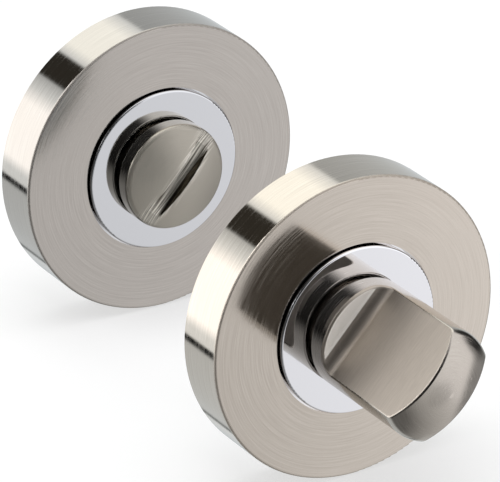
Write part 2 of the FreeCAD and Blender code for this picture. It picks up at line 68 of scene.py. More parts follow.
HALF_AXES = {half: axis_of(f"{half}_rose_cover") for half in ("turn", "release")}
ROSE_RADIUS = (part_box("turn_rose_cover")[1].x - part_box("turn_rose_cover")[0].x) / 2
print("rose radius mm:", round(ROSE_RADIUS / MM, 2))

# %% [markdown]
# ## Helpers
# Colours are written as sRGB hex, the way they look on a screen, and one function turns them to the
# linear values that the shader wants. A second function adds a node with its settings and links, so
# that each finish below reads as a list of what feeds what. A third starts a material, and each finish
# is kept under the name of the piece that wears it.

# %% Colour and node helpers
WHITE = (1, 1, 1, 1)


def linear(hex_colour):
    """Linear RGBA of an sRGB hex colour."""
    parts = [int(hex_colour[i:i + 2], 16) / 255 for i in (1, 3, 5)]
    return tuple(c / 12.92 if c <= 0.04045 else ((c + 0.055) / 1.055) ** 2.4 for c in parts) + (1.0,)


def add(tree, kind, settings=None, inputs=None, stops=()):
    """A node with its settings, inputs (numbers or other nodes' sockets) and, on a ramp, its stops."""
    node = tree.nodes.new(kind)
    for name, value in (settings or {}).items():
        setattr(node, name, value)
    for socket, value in (inputs or {}).items():
        if isinstance(value, bpy.types.NodeSocket):
            tree.links.new(value, node.inputs[socket])
        else:
            node.inputs[socket].default_value = value
    for _ in stops[2:]:
        node.color_ramp.elements.new(0.5)
    for element, (position, colour) in zip(node.color_ramp.elements if stops else (), stops):
        element.position = position
        element.color = linear(colour)
    return node


print("middle grey as a linear value:", round(linear("#808080")[0], 3))

# %% Start of a material
FINISHES = {}


def new_material(name):
    """A node material with its shader and output, and the piece's own coordinates for patterns."""
    material = bpy.data.materials.new(name)
    material.use_nodes = True
    tree = material.node_tree
    tree.nodes.clear()
    surface = add(tree, "ShaderNodeBsdfPrincipled")
    add(tree, "ShaderNodeOutputMaterial", inputs={"Surface": surface.outputs["BSDF"]})
    place = add(tree, "ShaderNodeTexCoord")
    return material, tree, surface, place


# %% [markdown]
# ## Turning lines
# The covers and heads were turned on a lathe and finished with fine abrasive while they spun, so faint
# lines run round the axis: rings on a face, hoops on a wall. On a face the lines are counted by the
# distance from the axis, and on a wall by the distance along it, so the surface's own direction chooses
# between the two numbers. Noise along that number gives the lines, and a little of the direction from
# the axis lets a line fade on its way round. Real lines are a few hundredths of a millimetre apart;
# they are drawn coarser here, so that they show.

# %% Turning-line pattern
LINE_MM = 0.22
LINE_FADE = 2.2
LINE_NOISE = {"Scale": 1.0, "Detail": 3.0, "Roughness": 0.6}
FACE_MIN = 0.7


def from_axis(tree, place, centre):
    """Sockets with a point's offset from centre, and with the part of it that lies across the axis."""
    offset = add(tree, "ShaderNodeVectorMath", {"operation": "SUBTRACT"},
                 {0: place.outputs["Object"], 1: tuple(centre)})
    across = add(tree, "ShaderNodeVectorMath", {"operation": "MULTIPLY"},
                 {0: offset.outputs[0], 1: (1, 0, 1)})
    return offset.outputs[0], across.outputs[0]


def turning_lines(tree, place, centre):
    """A socket with noise that runs in rings about the axis through centre."""
    offset, across = from_axis(tree, place, centre)
    radius = add(tree, "ShaderNodeVectorMath", {"operation": "LENGTH"}, {0: across})
    outward = add(tree, "ShaderNodeVectorMath", {"operation": "NORMALIZE"}, {0: across})
    along = add(tree, "ShaderNodeSeparateXYZ", inputs={0: offset})
    facing = add(tree, "ShaderNodeSeparateXYZ", inputs={0: place.outputs["Normal"]})
    frontal = add(tree, "ShaderNodeMath", {"operation": "ABSOLUTE"}, {0: facing.outputs["Y"]})
    on_face = add(tree, "ShaderNodeMath", {"operation": "GREATER_THAN"},
                  {0: frontal.outputs[0], 1: FACE_MIN})
    travel = add(tree, "ShaderNodeMix", {"data_type": "FLOAT"},
                 {0: on_face.outputs[0], 2: along.outputs["Y"], 3: radius.outputs["Value"]})
    count = add(tree, "ShaderNodeMath", {"operation": "DIVIDE"},
                {0: travel.outputs[0], 1: LINE_MM * MM})
    fade = add(tree, "ShaderNodeVectorMath", {"operation": "SCALE"},
               {0: outward.outputs[0], "Scale": LINE_FADE})
    step = add(tree, "ShaderNodeCombineXYZ", inputs={"Y": count.outputs[0]})
    where = add(tree, "ShaderNodeVectorMath", {"operation": "ADD"},
                {0: fade.outputs[0], 1: step.outputs[0]})
    return add(tree, "ShaderNodeTexNoise",
               inputs={"Vector": where.outputs[0], **LINE_NOISE}).outputs["Fac"]


print("turning lines drawn mm apart:", LINE_MM)

# %% [markdown]
# ## Satin nickel
# The covers, the turn and the release stud are nickel plate over a fine satin finish. Nickel is a warm
# grey metal, and the satin gives the eye a mirror whose edges are drawn out by the lines. Some lines
# are smoother than others, so the roughness swings from line to line, and an edge in the mirror looks
# brushed. A line also scatters light a little more across itself than along itself. That is anisotropy,
# with its direction taken round Y and turned a quarter. It could all be left to the bump, but lines
# this fine would then sparkle.

# %% Satin nickel finish
NOISE_LOW, NOISE_HIGH = 0.3, 0.7
SHEEN_SWING = 0.8
SMUDGE_MM = 9
SMUDGE_NOISE = {"Scale": 1 / (SMUDGE_MM * MM), "Detail": 4.0, "Roughness": 0.55}
SMUDGE_SHEEN = 0.02
LINE_DEPTH = 0.03 * MM
QUARTER = 0.25


def satin_nickel(name, centre, tones, sheen, spread, relief):
    """Nickel plate with turning lines; sheen is its roughness and spread its anisotropy."""
    material, tree, surface, place = new_material(name)
    lines = turning_lines(tree, place, centre)
    colour = add(tree, "ShaderNodeValToRGB", inputs={"Fac": lines},
                 stops=[(NOISE_LOW, tones[0]), (NOISE_HIGH, tones[1])])
    lined = add(tree, "ShaderNodeMapRange", inputs={
        "Value": lines, "From Min": NOISE_LOW, "From Max": NOISE_HIGH,
        "To Min": sheen * (1 - SHEEN_SWING), "To Max": sheen * (1 + SHEEN_SWING)})
    smudge = add(tree, "ShaderNodeTexNoise", inputs={"Vector": place.outputs["Object"], **SMUDGE_NOISE})
    rough = add(tree, "ShaderNodeMath", {"operation": "MULTIPLY_ADD"},
                {0: smudge.outputs["Fac"], 1: SMUDGE_SHEEN, 2: lined.outputs["Result"]})
    bump = add(tree, "ShaderNodeBump",
               inputs={"Height": lines, "Strength": relief, "Distance": LINE_DEPTH})
    round_axis = add(tree, "ShaderNodeTangent", {"direction_type": "RADIAL", "axis": "Y"})
    tree.links.new(colour.outputs["Color"], surface.inputs["Base Color"])
    tree.links.new(rough.outputs["Value"], surface.inputs["Roughness"])
    tree.links.new(bump.outputs["Normal"], surface.inputs["Normal"])
    tree.links.new(round_axis.outputs["Tangent"], surface.inputs["Tangent"])
    surface.inputs["Metallic"].default_value = 1.0
    surface.inputs["Anisotropic"].default_value = spread
    surface.inputs["Anisotropic Rotation"].default_value = QUARTER
    return material, tree, surface, place


print("roughness swings by:", SHEEN_SWING)

# %% [markdown]
# ## Covers
# A cover's front edge was broken by hand with abrasive, so it is duller than the face and the wall that
# it joins. On the edge the surface looks partly forwards and partly outwards, so the product of the two
# parts is zero on the face and on the wall and largest between them. The wall is a little smoother than
# the face. In the photograph the turn's cover mirrors the blade, and the mirrored blade ends short of
# the rim, so that cover must be slightly crowned. The other cover shows nothing of the kind and stays
# flat. The crown could be modelled, but a third of a millimetre shows only in the mirror, so it is a
# bump whose height falls with the square of the radius.

# %% Edge, wall and crown of a cover
EDGE_DULL = 1.3
WALL_SHARE = 0.7


def dull_edge(tree, surface, place):
    """Make the broken edge rougher, and the wall smoother, than the face."""
    turned_rough = surface.inputs["Roughness"].links[0].from_socket
    facing = add(tree, "ShaderNodeSeparateXYZ", inputs={0: place.outputs["Normal"]})
    square = add(tree, "ShaderNodeMath", {"operation": "POWER"}, {0: facing.outputs["Y"], 1: 2.0})
    rest = add(tree, "ShaderNodeMath", {"operation": "SUBTRACT"}, {0: 1.0, 1: square.outputs[0]})
    both = add(tree, "ShaderNodeMath", {"operation": "MULTIPLY"},
               {0: square.outputs[0], 1: rest.outputs[0]})
    edge = add(tree, "ShaderNodeMath", {"operation": "SQRT"}, {0: both.outputs[0]})
    level = add(tree, "ShaderNodeMapRange", inputs={"Value": square.outputs[0], "To Min": WALL_SHARE})
    brushed = add(tree, "ShaderNodeMath", {"operation": "MULTIPLY"},
                  {0: turned_rough, 1: level.outputs["Result"]})
    rough = add(tree, "ShaderNodeMath", {"operation": "MULTIPLY_ADD"},
                {0: edge.outputs[0], 1: EDGE_DULL, 2: brushed.outputs[0]})
    tree.links.new(rough.outputs[0], surface.inputs["Roughness"])


def low_crown(tree, surface, place, centre, height):
    """Tilt the surface as on a crown that falls by height from the axis to the rim."""
    across = from_axis(tree, place, centre)[1]
    square = add(tree, "ShaderNodeVectorMath", {"operation": "DOT_PRODUCT"}, {0: across, 1: across})
    drop = add(tree, "ShaderNodeMath", {"operation": "MULTIPLY"},
               {0: square.outputs["Value"], 1: -height / ROSE_RADIUS ** 2})
    crown = add(tree, "ShaderNodeBump",
                inputs={"Height": drop.outputs[0], "Strength": 1.0, "Distance": 1.0})
    lines_bump = surface.inputs["Normal"].links[0].from_node
    tree.links.new(crown.outputs["Normal"], lines_bump.inputs["Normal"])


print("edge duller by, wall's share of the sheen:", EDGE_DULL, WALL_SHARE)

# %% Cover finish
# The release cover's darker tones are painted shade on the same nickel.
COVER_TONES = {"turn": ("#CBC2B7", "#DAD1C6"), "release": ("#BFB9B2", "#CBC5BE")}
COVER_SHEEN = 0.1
COVER_SPREAD = 0.3
COVER_RELIEF = 0.06
CROWN_HEIGHT = {"turn": 0.29 * MM, "release": 0.0}


def cover_finish(name, centre, tones, crown_height):
    """Satin nickel with a dull edge and a low crown."""
    material, tree, surface, place = satin_nickel(name, centre, tones, COVER_SHEEN, COVER_SPREAD,
                                                  COVER_RELIEF)
    dull_edge(tree, surface, place)
    low_crown(tree, surface, place, centre, crown_height)
    return material


# Gives the eye a warm grey, brushed mirror. The release cover's darker tones are painted shade.
for half, centre in HALF_AXES.items():
    FINISHES[f"{half}_rose_cover"] = cover_finish(f"satin nickel, {half} cover", centre,
                                                  COVER_TONES[half], CROWN_HEIGHT[half])
print("covers finished:", sorted(FINISHES))

# %% [markdown]
# ## The turn
# The turn is nickel plate too. Its two flats were milled and then linished, so they are duller than the
# turned head, and the level shoulder at their foot is near-white and nearly matt: a painted highlight.
# The flats look along one direction, so the surface's own normal picks them out; the cove and the
# shoulder are what looks forwards near the foot. Two further materials could do this, but a solid from
# the model keeps one.

# %% Directions of the blade and the slot
REST_ANGLE = math.radians(47)
BLADE_WAY = Vector((math.cos(REST_ANGLE), 0, math.sin(REST_ANGLE)))
FLAT_WAY = Vector((-math.sin(REST_ANGLE), 0, math.cos(REST_ANGLE)))
print("blade runs along:", [round(part, 3) for part in BLADE_WAY])

# %% Where the turn was milled
COLLAR_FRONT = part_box("turn_collar")[0].y
FLAT_START = 3.4 * MM
FOOT_REACH = 8 * MM
FLAT_EDGE, FLAT_FULL = 0.9, 0.99
COVE_EDGE, COVE_FULL = 0.05, 0.2
SHOULDER_EDGE, SHOULDER_FULL = 0.96, 0.985


def milled_masks(tree, place):
    """Sockets that are 1 on the blade's flats, on the whole foot, and on the foot's level shoulder."""
    spot = add(tree, "ShaderNodeSeparateXYZ", inputs={0: place.outputs["Object"]})
    on_blade = add(tree, "ShaderNodeMath", {"operation": "LESS_THAN"},
                   {0: spot.outputs["Y"], 1: COLLAR_FRONT - FLAT_START})
    at_foot = add(tree, "ShaderNodeMath", {"operation": "GREATER_THAN"},
                  {0: spot.outputs["Y"], 1: COLLAR_FRONT - FOOT_REACH})
    sideways = add(tree, "ShaderNodeVectorMath", {"operation": "DOT_PRODUCT"},
                   {0: place.outputs["Normal"], 1: tuple(FLAT_WAY)})
    either = add(tree, "ShaderNodeMath", {"operation": "ABSOLUTE"}, {0: sideways.outputs["Value"]})
    level = add(tree, "ShaderNodeMapRange", {"interpolation_type": "SMOOTHSTEP"},
                {"Value": either.outputs[0], "From Min": FLAT_EDGE, "From Max": FLAT_FULL})
    facing = add(tree, "ShaderNodeSeparateXYZ", inputs={0: place.outputs["Normal"]})
    frontal = add(tree, "ShaderNodeMath", {"operation": "MULTIPLY"}, {0: facing.outputs["Y"], 1: -1.0})
    cove = add(tree, "ShaderNodeMapRange", {"interpolation_type": "SMOOTHSTEP"},
               {"Value": frontal.outputs[0], "From Min": COVE_EDGE, "From Max": COVE_FULL})
    shoulder = add(tree, "ShaderNodeMapRange", {"interpolation_type": "SMOOTHSTEP"},
                   {"Value": frontal.outputs[0], "From Min": SHOULDER_EDGE, "From Max": SHOULDER_FULL})
    pairs = ((level, on_blade), (cove, at_foot), (shoulder, at_foot))
    return [add(tree, "ShaderNodeMath", {"operation": "MULTIPLY"},
                {0: shape.outputs["Result"], 1: reach.outputs[0]}).outputs[0] for shape, reach in pairs]


print("flats start at y mm:", round((COLLAR_FRONT - FLAT_START) / MM, 2))

# %% Turn finish
HEAD_TONES = ("#BCB5AC", "#C6BFB6")
HEAD_SHEEN = 0.15
HEAD_SPREAD = 0.1
HEAD_RELIEF = 0.03
FLAT_TONES = ("#C0B6AB", "#CCC2B7")
FLAT_SHEEN = 0.44
COVE_SHEEN = 0.46
# Near-white and almost matt on the shoulder: a painted highlight.
SHOULDER_PAINTED_HIGHLIGHT = "#FBF5ED"
SHOULDER_SHEEN = 0.6
SHOULDER_MATT = 0.95


def turn_finish(name, centre):
    """Satin nickel with dull linished flats, and a painted highlight, near-white and matt, at their foot.
    """
    material, tree, surface, place = satin_nickel(name, centre, HEAD_TONES, HEAD_SHEEN, HEAD_SPREAD,
                                                  HEAD_RELIEF)
    turned_rough = surface.inputs["Roughness"].links[0].from_socket
    turned_colour = surface.inputs["Base Color"].links[0].from_socket
    lines = turned_colour.node.inputs["Fac"].links[0].from_socket
    flat, foot, shoulder = milled_masks(tree, place)
    flat_rough = add(tree, "ShaderNodeMix", {"data_type": "FLOAT"},
                     {0: flat, 2: turned_rough, 3: FLAT_SHEEN})
    foot_rough = add(tree, "ShaderNodeMix", {"data_type": "FLOAT"},
                     {0: shoulder, 2: COVE_SHEEN, 3: SHOULDER_SHEEN})
    rough = add(tree, "ShaderNodeMix", {"data_type": "FLOAT"},
                {0: foot, 2: flat_rough.outputs[0], 3: foot_rough.outputs[0]})
    milled = add(tree, "ShaderNodeMath", {"operation": "MAXIMUM"}, {0: foot, 1: flat})
    linished = add(tree, "ShaderNodeValToRGB", inputs={"Fac": lines},
                   stops=[(NOISE_LOW, FLAT_TONES[0]), (NOISE_HIGH, FLAT_TONES[1])])
    body = add(tree, "ShaderNodeMix", {"data_type": "RGBA"},
               {0: milled.outputs[0], 6: turned_colour, 7: linished.outputs["Color"]})
    # The shoulder's near-white, almost matt colour is a painted highlight.
    colour = add(tree, "ShaderNodeMix", {"data_type": "RGBA"},
                 {0: shoulder, 6: body.outputs[2], 7: linear(SHOULDER_PAINTED_HIGHLIGHT)})
    metal = add(tree, "ShaderNodeMath", {"operation": "MULTIPLY_ADD"},
                {0: shoulder, 1: -SHOULDER_MATT, 2: 1.0})
    tree.links.new(rough.outputs[0], surface.inputs["Roughness"])
    tree.links.new(colour.outputs[2], surface.inputs["Base Color"])
    tree.links.new(metal.outputs[0], surface.inputs["Metallic"])
    return material


# Gives the eye a dark glossy head, soft grey flats and a pale painted highlight at their foot.
FINISHES["thumb_turn"] = turn_finish("satin nickel, milled turn", HALF_AXES["turn"])
print("turn sheen, head flat cove shoulder:", HEAD_SHEEN, FLAT_SHEEN, COVE_SHEEN, SHOULDER_SHEEN)

# %% [markdown]
# ## The release stud
# The stud's crown is duller than its wall. Its coin slot was sawn and never polished: the floor is scored
# along the saw's way, with bright streaks where coins have rubbed, and the walls are painted near-black
# with the same scores, a painted shade in the narrow slot. Coins have scored the crown beside it too. The
# slot runs along one direction, so the distance across that direction says how near a point is, and noise
# that is fine across the slot and long along it gives the streaks. Real scores are a few hundredths of a
# millimetre apart; they are drawn coarser here, so that they show.

# %% Streaks along the slot
STREAK_MM = 0.16
STREAK_LENGTH_MM = 9
STREAK_NOISE = {"Scale": 1.0, "Detail": 2.0, "Roughness": 0.5}


def slot_streaks(tree, offset, across):
    """A socket with noise that is fine across the slot and into it, and long along it."""
    lengthways = add(tree, "ShaderNodeVectorMath", {"operation": "DOT_PRODUCT"},
                     {0: offset, 1: tuple(BLADE_WAY)})
    deep = add(tree, "ShaderNodeSeparateXYZ", inputs={0: offset})
    ahead = add(tree, "ShaderNodeMath", {"operation": "ADD"}, {0: across, 1: deep.outputs["Y"]})
    fine = add(tree, "ShaderNodeMath", {"operation": "DIVIDE"},
               {0: ahead.outputs[0], 1: STREAK_MM * MM})
    long = add(tree, "ShaderNodeMath", {"operation": "DIVIDE"},
               {0: lengthways.outputs["Value"], 1: STREAK_LENGTH_MM * MM})
    where = add(tree, "ShaderNodeCombineXYZ", inputs={"X": fine.outputs[0], "Y": long.outputs[0]})
    return add(tree, "ShaderNodeTexNoise",
               inputs={"Vector": where.outputs[0], **STREAK_NOISE}).outputs["Fac"]


print("slot streaks mm, apart and long:", STREAK_MM, STREAK_LENGTH_MM)

# %% Where the slot, its rubbed margin and the crown are
STUD_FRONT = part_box("release_stud")[0].y
SLOT_HALF = 1.54 * MM
SLOT_REACH = 2.6 * MM
RUB_REACH = 1.1 * MM
DOME_EDGE, DOME_FULL = 0.35, 0.65


def stud_masks(tree, place, offset, across, centre):
    """Sockets that are 1 in the slot, on the margin beside it, and on what looks forwards."""
    deep = add(tree, "ShaderNodeSeparateXYZ", inputs={0: offset})
    on_crown = add(tree, "ShaderNodeMath", {"operation": "LESS_THAN"},
                   {0: deep.outputs["Y"], 1: STUD_FRONT + SLOT_REACH - centre.y})
    gap = add(tree, "ShaderNodeMath", {"operation": "ABSOLUTE"}, {0: across})
    between = add(tree, "ShaderNodeMath", {"operation": "LESS_THAN"}, {0: gap.outputs[0], 1: SLOT_HALF})
    in_slot = add(tree, "ShaderNodeMath", {"operation": "MULTIPLY"},
                  {0: between.outputs[0], 1: on_crown.outputs[0]})
    near = add(tree, "ShaderNodeMapRange", {"interpolation_type": "SMOOTHSTEP"},
               {"Value": gap.outputs[0], "From Min": SLOT_HALF + RUB_REACH, "From Max": SLOT_HALF})
    beside = add(tree, "ShaderNodeMath", {"operation": "MULTIPLY"},
                 {0: near.outputs["Result"], 1: on_crown.outputs[0]})
    facing = add(tree, "ShaderNodeSeparateXYZ", inputs={0: place.outputs["Normal"]})
    dome = add(tree, "ShaderNodeMapRange", {"interpolation_type": "SMOOTHSTEP"},
               {"Value": facing.outputs["Y"], "From Min": -DOME_EDGE, "From Max": -DOME_FULL})
    return in_slot.outputs[0], beside.outputs[0], dome.outputs["Result"]


print("slot reaches y mm:", round((STUD_FRONT + SLOT_REACH) / MM, 2))

# %% Stud finish
STUD_TONES = ("#B3ADA2", "#BCB6AB")
STUD_SHEEN = 0.44
STUD_MATT = 0.2
RUBBED_TONE = "#FFFAF0"
FLOOR_SCORES = [(0.38, "#6A6458"), (0.60, RUBBED_TONE)]
# The walls' near-black tones are painted shade in the narrow slot, streaked like the floor.
WALL_SCORES_AND_PAINTED_SHADE = [(0.42, "#1E1B16"), (0.62, "#948A7A")]
RUB_START, RUB_FULL = 0.52, 0.6
SLOT_DULL = 0.2


def stud_finish(name, centre):
    """Satin nickel with a sawn, scored slot whose walls carry painted shade, and rubbed streaks beside
    it.
    """
    material, tree, surface, place = satin_nickel(name, centre, STUD_TONES, HEAD_SHEEN, HEAD_SPREAD,
                                                  HEAD_RELIEF)
    turned_colour = surface.inputs["Base Color"].links[0].from_socket
    turned_rough = surface.inputs["Roughness"].links[0].from_socket
    offset, sideways = from_axis(tree, place, centre)
    across = add(tree, "ShaderNodeVectorMath", {"operation": "DOT_PRODUCT"},
                 {0: sideways, 1: tuple(FLAT_WAY)}).outputs["Value"]
    streaks = slot_streaks(tree, offset, across)
    in_slot, beside, dome = stud_masks(tree, place, offset, across, centre)
    scratch = add(tree, "ShaderNodeMapRange",
                  inputs={"Value": streaks, "From Min": RUB_START, "From Max": RUB_FULL})
    worn = add(tree, "ShaderNodeMath", {"operation": "MULTIPLY"},
               {0: beside, 1: scratch.outputs["Result"]})
    crown = add(tree, "ShaderNodeMix", {"data_type": "RGBA"},
                {0: worn.outputs[0], 6: turned_colour, 7: linear(RUBBED_TONE)})
    floor = add(tree, "ShaderNodeValToRGB", inputs={"Fac": streaks}, stops=FLOOR_SCORES)
    # Painted shade: the slot's walls take the near-black scores.
    wall = add(tree, "ShaderNodeValToRGB", inputs={"Fac": streaks}, stops=WALL_SCORES_AND_PAINTED_SHADE)
    slot = add(tree, "ShaderNodeMix", {"data_type": "RGBA"},
               {0: dome, 6: wall.outputs["Color"], 7: floor.outputs["Color"]})
    colour = add(tree, "ShaderNodeMix", {"data_type": "RGBA"},
                 {0: in_slot, 6: crown.outputs[2], 7: slot.outputs[2]})
    dulled = add(tree, "ShaderNodeMath", {"operation": "MULTIPLY_ADD"},
                 {0: dome, 1: STUD_SHEEN - HEAD_SHEEN, 2: turned_rough})
    on_floor = add(tree, "ShaderNodeMath", {"operation": "MULTIPLY"}, {0: in_slot, 1: dome})
    rough = add(tree, "ShaderNodeMath", {"operation": "MULTIPLY_ADD"},
                {0: on_floor.outputs[0], 1: SLOT_DULL, 2: dulled.outputs[0]})
    metal = add(tree, "ShaderNodeMath", {"operation": "MULTIPLY_ADD"}, {0: dome, 1: -STUD_MATT, 2: 1.0})
    tree.links.new(colour.outputs[2], surface.inputs["Base Color"])
    tree.links.new(rough.outputs[0], surface.inputs["Roughness"])
    tree.links.new(metal.outputs[0], surface.inputs["Metallic"])
    return material


# Gives the eye a dull grey crown on a glossy wall, and a slot streaked with bright scores, its walls in
# painted shade.
FINISHES["release_stud"] = stud_finish("satin nickel, sawn slot", HALF_AXES["release"])
print("stud sheen, wall crown:", HEAD_SHEEN, STUD_SHEEN)

# %% [markdown]
# ## Polished chrome
# The collars are buffed to a mirror and chrome plated: a cold bright metal with almost no roughness,
# apart from the faint haze that a polishing mop leaves. The haze varies the roughness a little, and the
# colour stays even.

# %% Polished chrome finish
HAZE_MM = 4
HAZE_NOISE = {"Scale": 1 / (HAZE_MM * MM), "Detail": 3.0, "Roughness": 0.5}
CHROME_SHEEN, HAZE_SHEEN = 0.035, 0.07
# The release collar's darker tone is painted shade.
CHROME_TONES = {"turn": "#F6F6F9", "release": "#E3E4E7"}


def polished_chrome(name, tone):
    """Mirror chrome with a faint polishing haze."""
    material, tree, surface, place = new_material(name)
    haze = add(tree, "ShaderNodeTexNoise", inputs={"Vector": place.outputs["Object"], **HAZE_NOISE})
    rough = add(tree, "ShaderNodeMapRange", inputs={
        "Value": haze.outputs["Fac"], "From Min": NOISE_LOW, "From Max": NOISE_HIGH,
        "To Min": CHROME_SHEEN, "To Max": HAZE_SHEEN})
    tree.links.new(rough.outputs["Result"], surface.inputs["Roughness"])
    surface.inputs["Base Color"].default_value = linear(tone)
    surface.inputs["Metallic"].default_value = 1.0
    return material


# Gives the eye a clear cold mirror. The release collar's darker tone is painted shade, as on its cover.
for half, tone in CHROME_TONES.items():
    FINISHES[f"{half}_collar"] = polished_chrome(f"polished chrome, {half}", tone)
print("collars finished:", sorted(CHROME_TONES))

# %% [markdown]
# ## Hidden pieces
# Behind the cover are a zinc casting, dark spring steel, bright plated screws and a nylon bush. They
# show only from behind, and each has the surface that its making leaves: a grainy cast skin, an oiled
# dark steel, a bright plate, a waxy moulded plastic. One function serves them all, because each is a
# single grain at its own size.

# %% A finish of one grain
GRAIN_NOISE = {"Detail": 5.0, "Roughness": 0.6}
SHADE_LOW, SHADE_HIGH = 0.35, 0.65
GRAIN_SWING = 0.08
GRAIN_RELIEF = 0.35


def worked_finish(name, dark, light, grain_mm, sheen, metallic, bump_mm):
    """A finish whose colour, roughness and bump all follow one grain."""
    material, tree, surface, place = new_material(name)
    grain = add(tree, "ShaderNodeTexNoise", inputs={
        "Vector": place.outputs["Object"], "Scale": 1 / (grain_mm * MM), **GRAIN_NOISE}).outputs["Fac"]
    colour = add(tree, "ShaderNodeValToRGB", inputs={"Fac": grain},
                 stops=[(SHADE_LOW, dark), (SHADE_HIGH, light)])
    rough = add(tree, "ShaderNodeMapRange", inputs={
        "Value": grain, "From Min": NOISE_LOW, "From Max": NOISE_HIGH,
        "To Min": sheen - GRAIN_SWING, "To Max": sheen + GRAIN_SWING})
    bump = add(tree, "ShaderNodeBump",
               inputs={"Height": grain, "Strength": GRAIN_RELIEF, "Distance": bump_mm * MM})
    tree.links.new(colour.outputs["Color"], surface.inputs["Base Color"])
    tree.links.new(rough.outputs["Result"], surface.inputs["Roughness"])
    tree.links.new(bump.outputs["Normal"], surface.inputs["Normal"])
    surface.inputs["Metallic"].default_value = metallic
    return material


print("grain swings the roughness by:", GRAIN_SWING)

# %% Finishes of the hidden pieces
# Gives the eye a pale, frosted grey.
CAST_ZINC = worked_finish("cast zinc", "#BDBFC1", "#D4D6D8",
                          grain_mm=0.8, sheen=0.5, metallic=1.0, bump_mm=0.06)
# Gives the eye a near-black metal with a soft shine.
SPRING_STEEL = worked_finish("oiled spring steel", "#4A4B4E", "#5E6064",
                             grain_mm=1.2, sheen=0.35, metallic=1.0, bump_mm=0.02)
# Gives the eye a cool bright silver.
ZINC_PLATE = worked_finish("bright zinc plate", "#BFC3C8", "#D6DADE",
                           grain_mm=1.5, sheen=0.25, metallic=1.0, bump_mm=0.02)
# Gives the eye a creamy, waxy white.
NYLON = worked_finish("natural nylon", "#D8D4C6", "#E4E0D3",
                      grain_mm=2.0, sheen=0.45, metallic=0.0, bump_mm=0.02)
for half in HALF_AXES:
    FINISHES[f"{half}_base"] = CAST_ZINC
    FINISHES[f"{half}_bush"] = NYLON
    for piece in ("spring_washer", "flat_washer", "circlip"):
        FINISHES[f"{half}_{piece}"] = SPRING_STEEL
FINISHES["turn_spindle"] = ZINC_PLATE
FINISHES["spindle_grub_screw"] = SPRING_STEEL
print("hidden finishes:", [finish.name for finish in (CAST_ZINC, SPRING_STEEL, ZINC_PLATE, NYLON)])

# %% Put every finish on its node
for node_name, finish in FINISHES.items():
    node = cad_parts[node_name]
    node.data.materials.clear()
    node.data.materials.append(finish)
print("finished nodes:", len(FINISHES), "of", len(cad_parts))

# %% [markdown]
# ## Wood screws
# Each base is held by two countersunk wood screws, which stand out behind the rose. The solids carry
# them as plain blanks, so the thread is cut here. A screw is a turned core with a thread rolled on it:
# the core is a half outline spun round the axis, and the thread is a three-cornered section spun while
# it also moves along. The section could follow a curve instead, but the spin gives its pitch directly.
# Near the point the thread shrinks with the core.

# %% Sizes of a wood screw
THREAD_RADIUS = 1.75 * MM
CORE_RADIUS = 1.25 * MM
SHANK_RADIUS = 1.6 * MM
POINT_LENGTH = 4 * MM
PITCH = 1.6 * MM
THREAD_HALF = 0.42 * MM
THREAD_SINK = 0.1 * MM
CROSS_LONG, CROSS_SHORT, CROSS_DEPTH = 1.7 * MM, 0.45 * MM, 1.1 * MM
TURN_STEPS = 32
MERGE_REACH = 0.001 * MM
AXIS = Vector((0, -1, 0))
print("screw thread mm, across and pitch:", round(2 * THREAD_RADIUS / MM, 2), round(PITCH / MM, 2))


# %% Core, head and cross recess
def screw_core(mesh, front, tip, head_radius):
    """Core spun from its half outline, with the head's face drawn in to a cross recess."""
    outline = [(0, tip), (CORE_RADIUS, tip - POINT_LENGTH), (CORE_RADIUS, 0), (SHANK_RADIUS, 0),
               (SHANK_RADIUS, front + head_radius - SHANK_RADIUS), (head_radius, front)]
    points = [mesh.verts.new((radius, along, 0)) for radius, along in outline]
    edges = [mesh.edges.new(pair) for pair in zip(points, points[1:])]
    bmesh.ops.spin(mesh, geom=points + edges, axis=AXIS, angle=2 * math.pi, steps=TURN_STEPS,
                   use_merge=True)
    bmesh.ops.remove_doubles(mesh, verts=mesh.verts, dist=MERGE_REACH)
    rim = [edge for edge in mesh.edges if edge.is_boundary]
    arms = [(1, 0), (0, 1), (-1, 0), (0, -1)]
    corners = []
    for x, z in arms:
        corners.append((x * CROSS_LONG + z * CROSS_SHORT, z * CROSS_LONG - x * CROSS_SHORT))
        corners.append((x * CROSS_LONG - z * CROSS_SHORT, z * CROSS_LONG + x * CROSS_SHORT))
        corners.append(((x - z) * CROSS_SHORT, (z + x) * CROSS_SHORT))
    cross = [mesh.verts.new((x, front, z)) for x, z in corners]
    lip = [mesh.edges.new(pair) for pair in zip(cross, cross[1:] + cross[:1])]
    bmesh.ops.bridge_loops(mesh, edges=rim + lip)
    sunk = bmesh.ops.extrude_edge_only(mesh, edges=lip)["geom"]
    bottom = [item for item in sunk if isinstance(item, bmesh.types.BMVert)]
    bmesh.ops.translate(mesh, verts=bottom, vec=-AXIS * CROSS_DEPTH)
    bmesh.ops.holes_fill(mesh, edges=[item for item in sunk if isinstance(item, bmesh.types.BMEdge)])


# %% Thread
THREAD_START = POINT_LENGTH / 8


def screw_thread(mesh, tip):
    """A three-cornered section wound from the point to the door face, and drawn in at both ends."""
    start = tip - THREAD_START
    turns = int((start - THREAD_HALF) / PITCH)
    root = CORE_RADIUS - THREAD_SINK
    section = [(root, start - THREAD_HALF), (THREAD_RADIUS, start), (root, start + THREAD_HALF)]
    points = [mesh.verts.new((radius, along, 0)) for radius, along in section]
    end = mesh.faces.new(points)
    before = set(mesh.verts) - set(points)
    bmesh.ops.spin(mesh, geom=[end] + list(end.edges) + points, axis=AXIS,
                   dvec=AXIS * PITCH / TURN_STEPS, angle=2 * math.pi * turns, steps=TURN_STEPS * turns)
    for vert in set(mesh.verts) - before:
        radius = math.hypot(vert.co.x, vert.co.z)
        run_out = min(1, max(0, vert.co.y / PITCH))
        wanted = root + (radius - root) * run_out
        wanted *= min(1, (tip - vert.co.y) / POINT_LENGTH)
        bmesh.ops.scale(mesh, vec=(wanted / radius, 1, wanted / radius), verts=[vert])
    return turns


# %% Make the four screws
SHARP = math.radians(35)


